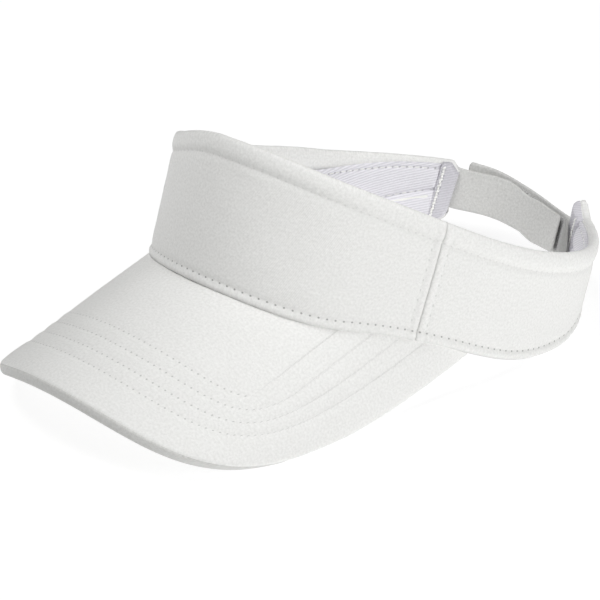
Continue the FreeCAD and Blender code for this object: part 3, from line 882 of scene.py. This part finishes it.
insets = np.arange(0, 60.5, 0.5)
dropTable = np.linspace(0, bill["drop"], 124)
edgeTable = np.array([np.interp(dropTable, c[:, 1], c[:, 0], right=-140.0)
                      for c in (edgeCurve(i) for i in insets)])


def edgeAt(drop, inset=0.0):
    c = edgeCurve(inset)
    return np.interp(drop, c[:, 1], c[:, 0])


def insetAt(u, drop):
    # how far in from the bill's edge a point lies, on the drawing of its side view
    place = np.interp(drop, dropTable, np.arange(len(dropTable)))
    low = np.clip(place.astype(int), 0, len(dropTable) - 2)
    part = place - low
    table = edgeTable[:, low] * (1 - part) + edgeTable[:, low + 1] * part
    out = np.empty(u.shape)
    for i in range(u.shape[0]):
        out[i] = np.interp(-u[i], -table[:, i], insets)
    return out


halfFront = np.linspace(0, along(85.0), 900)
frontX, frontY = planPoint(halfFront, 1.6)


def billPlace(angle, u, lift):
    # point over the arch: angle across it, distance down the slope, lift off its top face
    x = bill["halfWidth"] * np.sin(angle)
    drop = bill["rise"] * (1 - np.cos(angle))
    nx = np.sin(angle) * bill["rise"]
    nd = -np.cos(angle) * bill["halfWidth"]
    size = np.hypot(nx, nd)
    x, drop = x + lift * nx / size, drop + lift * nd / size
    y = -band["front"] - u * math.cos(slope) + drop * math.sin(slope)
    z = -u * math.sin(slope) - drop * math.cos(slope)
    return np.stack([x + 0 * u, y, z], -1)


def rearAt(angle):
    x = np.abs(bill["halfWidth"] * np.sin(angle))
    drop = bill["rise"] * (1 - np.cos(angle))
    y = np.interp(x, frontX, frontY)
    return (-band["front"] + drop * math.sin(slope) - y) / math.cos(slope)


angles = np.linspace(0, math.radians(88.8), 2000)
reaches = edgeAt(bill["rise"] * (1 - np.cos(angles))) > rearAt(angles) + 0.6
lastAngle = angles[reaches][-1]
billShape = {
    "columns": 340, "rows": 150, "underRows": 90, "pitch": 3.1,
    "puff": 0.6, "quilt": 0.12, "channel": 0.3, "channelWidth": 1.7,
    "edgeRound": 1.3, "underRound": 1.0, "bevel": 1.5, "wave": 0.25, "sink": 0.45,
}
rowInsets = [bill["rowMargin"] + i * bill["rowPitch"] for i in range(bill["rows"])]


def billLift(inset):
    margin = np.clip(inset / bill["rowMargin"], 0, 1)
    lift = billShape["puff"] * np.sin(math.pi * margin ** 0.8) ** 0.7 * (inset < bill["rowMargin"])
    between = np.clip((inset - bill["rowMargin"]) / bill["rowPitch"], 0, None)
    quilted = (between > 0) * (between < bill["rows"] - 1)
    lift = lift + billShape["quilt"] * np.abs(np.sin(math.pi * between)) ** 0.8 * quilted
    for at in rowInsets:
        lift = lift - billShape["channel"] * bump(inset, at, billShape["channelWidth"]) * 0.7
    return lift - billShape["edgeRound"] * 0.6 * (1 - roundOff(inset, billShape["edgeRound"]))


def topLift(angle, u, inset):
    wave = billShape["wave"] * smoothNoise(angle * 60, u, 41, 45.0)
    return billLift(inset) + wave * np.clip(inset / 10, 0, 1) - billShape["sink"]


def rowRun(inset):
    # arc length along the row at an inset, as a table over the arch angle
    angle = np.linspace(0, lastAngle, 600)
    u = edgeAt(bill["rise"] * (1 - np.cos(angle)), inset)
    u = np.maximum(u, -bill["rear"])
    place = billPlace(angle, u, 0.0)
    steps = np.linalg.norm(np.diff(place, axis=0), axis=1)
    return angle, np.concatenate([[0], np.cumsum(steps)])


def billRowFields(a, inset):
    rows = []
    for at in rowInsets:
        angle, run = rowRun(at)
        rows.append((inset - at, np.sign(a) * np.interp(np.abs(a), angle, run), billShape["pitch"], 0.6))
    return nearestRow(rows, inset.shape)


def billGrid(rows):
    a = np.linspace(-lastAngle, lastAngle, billShape["columns"])[:, None]
    drop = bill["rise"] * (1 - np.cos(a))
    start, stop = rearAt(a), edgeAt(drop)
    u = start + (stop - start) * np.linspace(0, 1, rows)[None, :]
    return a, start, stop, u, insetAt(u, drop[:, 0])


def makeBillTop():
    a, start, _, u, inset = billGrid(billShape["rows"])
    grid = billPlace(a + 0 * u, u, topLift(a, u, inset))
    uv = np.stack([a * 68 + 0 * u, u], -1)
    # painted shade along the bill's rear, where it runs under the panels
    fields = {**billRowFields(a, inset), "crease": 0.8 * np.exp(-(u - start) / 1.6)}
    return clothMesh("billTopCover", grid, bill["ply"], uv, False, fields)


billTop = makeBillTop()
finishPiece(billTop, cotton, "cotton_twill", "visor", "bill_top_cover")


def makeBillUnder():
    # the under side and the edge strip: one cloth that turns up round the board's edge
    a, _, stop, u, inset = billGrid(billShape["underRows"])
    thick, r = bill["thickness"], billShape["underRound"]
    lift = -thick + r * (1 - roundOff(inset, r)) + 0.15 * smoothNoise(a * 60, u, 43, 40.0)
    flare = billShape["bevel"] * np.clip(1 - inset / 12, 0, 1) ** 2
    under = billPlace(a + 0 * u, u + flare, lift - 0.5 * flare)
    wall = np.linspace(0, 1, 14)[None, 1:]
    bulge = 0.3 * np.sin(math.pi * wall) + billShape["bevel"] * (1 - wall)
    wallLift = -thick + r + (thick - r - 0.55) * wall
    side = billPlace(a + 0 * wall, stop + bulge, wallLift - 0.5 * billShape["bevel"] * (1 - wall) + 0 * a)
    tuckIn = billPlace(a + 0 * wall[:, :3], stop - np.array([[0.35, 0.8, 1.5]]), -0.95 + 0 * a)
    grid = np.concatenate([under, side, tuckIn], 1)
    tail = grid.shape[1] - u.shape[1]
    fields = padFields(billRowFields(a, inset), tail)
    # painted shade over the edge strip and its tucked-in rim
    wallV = np.concatenate([np.zeros_like(wall), np.ones((1, 3))], 1)
    crease = np.concatenate([np.zeros_like(u), np.repeat(wallV, len(a), 0)], 1)
    across = np.concatenate([u, stop + np.linspace(0, 5, tail)[None, :]], 1)
    uv = np.stack([a * 68 + 0 * grid[..., 0], across], -1)
    return clothMesh("billUnderCover", grid, bill["ply"], uv, True, {**fields, "crease": crease})


billUnder = makeBillUnder()
finishPiece(billUnder, underCotton, "cotton_twill", "visor", "bill_under_cover")
print("bill")


def billStitches(name, at):
    angle, run = rowRun(at)
    spacing = billShape["pitch"]
    k = np.arange(-math.floor(run[-1] / spacing), math.floor(run[-1] / spacing) + 1)
    a = np.sign(k) * np.interp(np.abs(k) * spacing, run, angle)
    u = edgeAt(bill["rise"] * (1 - np.cos(a)), at)
    keep = u > rearAt(a) + 1.0
    a, u = a[keep], u[keep]
    lift = topLift(a, u, np.full(len(a), float(at)))
    points = billPlace(a, u, lift)
    return stitchMesh(name, points, billPlace(a, u, lift + 1) - points, 0.55, 0.1, 0.74)


for i, at in enumerate(rowInsets, 1):
    finishPiece(billStitches(f"billStitches{i}", at), threadGrey, "thread", "visor", f"bill_stitch_row_{i}")
print("bill stitches")


# closure straps

strap = {
    "base": 19.0, "width": 19.5, "ply": 1.2, "step": 0.7, "rows": 26,
    "outerRadius": 89.0, "innerRadius": 85.7, "corner": 1.6, "rowInset": 1.8, "rowPitch": 3.4,
}
ring = radii[3]


def strapPlace(turn, radius, z):
    t = np.radians(turn)
    return np.stack([radius * np.sin(t), centres[3][1] - radius * np.cos(t), z + 0 * radius * t], -1)


def makeStrap(name, radius, first, last, seed, lifts, offset=None):
    # a folded strip of cloth with soft edges, waves along them and rounded corners
    count = int(math.radians(last - first) * ring / strap["step"])
    turn = np.linspace(first, last, count)[:, None]
    v = np.linspace(0, 1, strap["rows"])[None, :]
    run = np.radians(turn) * ring
    wave = 0.45 * smoothNoise(run, 0 * run, seed, 26.0)
    wave2 = 0.35 * smoothNoise(run, 0 * run + 50, seed + 1, 19.0)
    lowLift, highLift = lifts(turn)
    low = strap["base"] + lowLift + wave2 * 0.5
    high = strap["base"] + strap["width"] + highLift + wave * 0.5
    fromEnd = np.minimum(run - run[0], run[-1] - run)
    corner = strap["corner"] * (1 - roundOff(fromEnd, strap["corner"]))
    low, high = low + corner, high - corner
    z = low + (high - low) * v
    nearEdge = np.minimum(z - low, high - z)
    half = strap["ply"] / 2 * roundOff(np.minimum(nearEdge, fromEnd + 0.05), 0.6, 0.03)
    half = half - 0.16 * bump(nearEdge, strap["rowInset"], 0.6)
    shift = 0.30 * smoothNoise(run, z * 0.6, seed + 2, 24.0) * np.sin(math.pi * v)
    middle = radius + shift * 0.5 + (offset(turn) if offset else 0)
    outer, inner = middle + half, middle - half
    both = bothFaces(outer, inner)
    height = bothFaces(z, z)
    loops = strapPlace(turn + 0 * both, both, height)
    row = (nearEdge - strap["rowInset"], run, strap["rowPitch"], 0.5)
    fields = padFields(nearestRow([row], z.shape), z.shape[1])
    uv = np.stack([run + 0 * both, height], -1)
    return tubeMesh(name, loops, uv, {k: v.ravel() for k, v in fields.items()})


def outerRoot(turn):
    # the strap comes out from behind the panel's end and steps up onto its own radius
    return -2.6 * (1 - ease((turn - 151.0) / 7.5))


def outerLifts(turn):
    high = -1.2 + 7.0 * ease((turn - 162) / 36)
    return high * 0.6, high


def innerLifts(turn):
    settle = 1 - 0.35 * ease((turn - 192) / 14)
    low = 3.8 * ease((turn - 174) / 11) * settle
    return low, 3.4 * ease((turn - 178) / 11) * settle - 2 * (1 - ease((turn - 164) / 14))


def strapStation(turn):
    return tuple(toRow(strapPlace(turn, strap["outerRadius"], strap["base"] + strap["width"] / 2)))


leftStrap = makeStrap("leftStrap", strap["outerRadius"], 149.5, 203.39, 51, outerLifts, outerRoot)
finishPiece(leftStrap, strapCotton, "cotton_twill", None, "left_strap", "left_strap_stitching")
strapStation(153.9)
strapStation(155.6)
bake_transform(leftStrap)
rightStrap = makeStrap("rightStrap", strap["innerRadius"], 164.45, 210.9, 61, innerLifts)
finishPiece(rightStrap, strapCotton, "cotton_twill", "inner_strap", "right_strap", "right_strap_stitching")
print("straps")


tapes = {
    "inset": 2.2, "step": 0.85, "reach": 0.35, "rise": 0.38, "jitter": 0.3,
    "section": ((0.07, 0), (0, 0.07), (-0.07, -0.05)),
}


def makeTape(name, outer, inner, first, last, seed, lifts, hooks):
    # a woven tape, and the small loops or hooks that stand on its working face
    inset, away = tapes["inset"], 1 if hooks else -1
    face, back = (outer, inner) if hooks else (inner, outer)
    turn = np.linspace(first, last, 50)[:, None]
    lowLift, highLift = lifts(turn)
    low = strap["base"] + inset + lowLift
    high = strap["base"] + strap["width"] - inset + highLift
    v = np.linspace(0, 1, 20)[None, :]
    z = low + (high - low) * v
    seen = face + 0.08 * smoothNoise(np.radians(turn) * ring, z, seed, 5.0)
    sides = (seen, back + 0 * z) if hooks else (back + 0 * z, seen)
    both = bothFaces(*sides)
    height = bothFaces(z, z)
    uv = np.stack([np.radians(turn) * ring + 0 * both, height], -1)
    loops = strapPlace(turn + 0 * both, both, height)
    tape = tubeMesh(name, loops, uv, plainFields(both.size))
    spread = np.random.default_rng(seed + 1)
    step, reach, jitter = tapes["step"], tapes["reach"], tapes["jitter"]
    arc = np.linspace(0, math.pi * (0.7 if hooks else 1.0), 4)
    points, faces, flat = [], [], []
    for i in range(int(math.radians(last - first) * ring / step)):
        for j in range(int((strap["width"] - 2 * inset) / step)):
            at = first + math.degrees((i + 0.5 + spread.uniform(-jitter, jitter)) * step / ring)
            start = strap["base"] + inset + lifts(np.array([at]))[0][0]
            foot = start + (j + 0.5 + spread.uniform(-jitter, jitter)) * step
            lean, firstPoint = spread.uniform(0, 2 * math.pi), len(points)
            for t in arc:
                radius, run = face + away * tapes["rise"] * math.sin(t), -reach * math.cos(t)
                for du, dv in tapes["section"]:
                    turnAt = at + math.degrees((run * math.cos(lean) + du) / ring)
                    points.append(strapPlace(turnAt, radius, foot + run * math.sin(lean) + dv))
                    flat.append((i * step, j * step))
            for k in range(3):
                for m in range(3):
                    a, b = firstPoint + k * 3 + m, firstPoint + k * 3 + (m + 1) % 3
                    faces.append([a, b, b + 3, a + 3])
    standName = name + ("Hooks" if hooks else "Loops")
    stand = meshObject(standName, np.array(points), faces, np.array(flat), plainFields(len(points)))
    return tape, stand


loopTape, loops = makeTape("loopTape", 88.4, 87.5, 159.9, 191.87, 81, outerLifts, False)
finishPiece(loopTape, pile, "loop_tape", "outer_strap", "loop_tape")
finishPiece(loops, pile, "loop_tape", "outer_strap")
hookTape, hooks = makeTape("hookTape", 87.2, 86.3, 165.9, 185.5, 91, innerLifts, True)
finishPiece(hookTape, hookPlastic, "hook_tape", "inner_strap", "hook_tape")
finishPiece(hooks, hookPlastic, "hook_tape", "inner_strap")
print("tapes")
# stage, light and camera

stage = {
    "size": 12.0, "shade": (0.22, 0.22, 0.22, 1), "glow": 0.86,
    "lowSky": 1.02, "highSky": 0.40, "skyFrom": 0.06, "skyTo": 0.3,
}
floorMaterial, _, floorShader = startMaterial("stageWhite")
floorShader.inputs["Base Color"].default_value = stage["shade"]
floorShader.inputs["Roughness"].default_value = 1.0
floorShader.inputs["Emission Color"].default_value = (1, 1, 1, 1)
floorShader.inputs["Emission Strength"].default_value = stage["glow"]
bpy.ops.mesh.primitive_plane_add(size=stage["size"], location=(0, 0, 0))
floor = bpy.context.object
floor.name = "stageFloor"
floor.data.materials.append(floorMaterial)

world = bpy.data.worlds.new("studio")
bpy.context.scene.world = world
world.use_nodes = True
sky = Wire(world.node_tree)
direction = sky.node("ShaderNodeTexCoord")
height = sky.node("ShaderNodeSeparateXYZ", None, {0: direction}, 2)
glow = sky.node("ShaderNodeMapRange", {"interpolation_type": "SMOOTHSTEP"},
                {0: height, 1: stage["skyFrom"], 2: stage["skyTo"], 3: stage["lowSky"], 4: stage["highSky"]})
world.node_tree.links.new(glow.socket, world.node_tree.nodes["Background"].inputs[1])


def areaLight(name, place, size, power):
    # a soft lamp aimed at the middle of the visor
    light = bpy.data.lights.new(name, "AREA")
    light.size, light.energy = size, power
    thing = bpy.data.objects.new(name, light)
    thing.location = place
    thing.rotation_euler = (Vector((0, 0, 0.05)) - Vector(place)).to_track_quat("-Z", "Y").to_euler()
    bpy.context.scene.collection.objects.link(thing)


areaLight("sideKey", (1.5, 0.15, 0.7), 0.7, 14.5)
areaLight("topFill", (-0.25, -0.4, 1.6), 0.9, 18.5)

camera = bpy.data.cameras.new("camera")
camera.lens, camera.sensor_width = 223.1, 36.0
camera.clip_start, camera.clip_end = 0.01, 50.0
eye = bpy.data.objects.new("camera", camera)
forward, up = Vector((-0.652845, 0.619656, -0.435681)), Vector((-0.318384, 0.297423, 0.900096))
right = forward.cross(up)
facingAxes = Matrix((right, up, -forward)).transposed().to_4x4()
eye.matrix_world = Matrix.Translation((1.04635, -0.99742, 0.72106)) @ facingAxes
bpy.context.scene.collection.objects.link(eye)
bpy.context.scene.camera = eye
bpy.context.scene.view_settings.view_transform = "Standard"
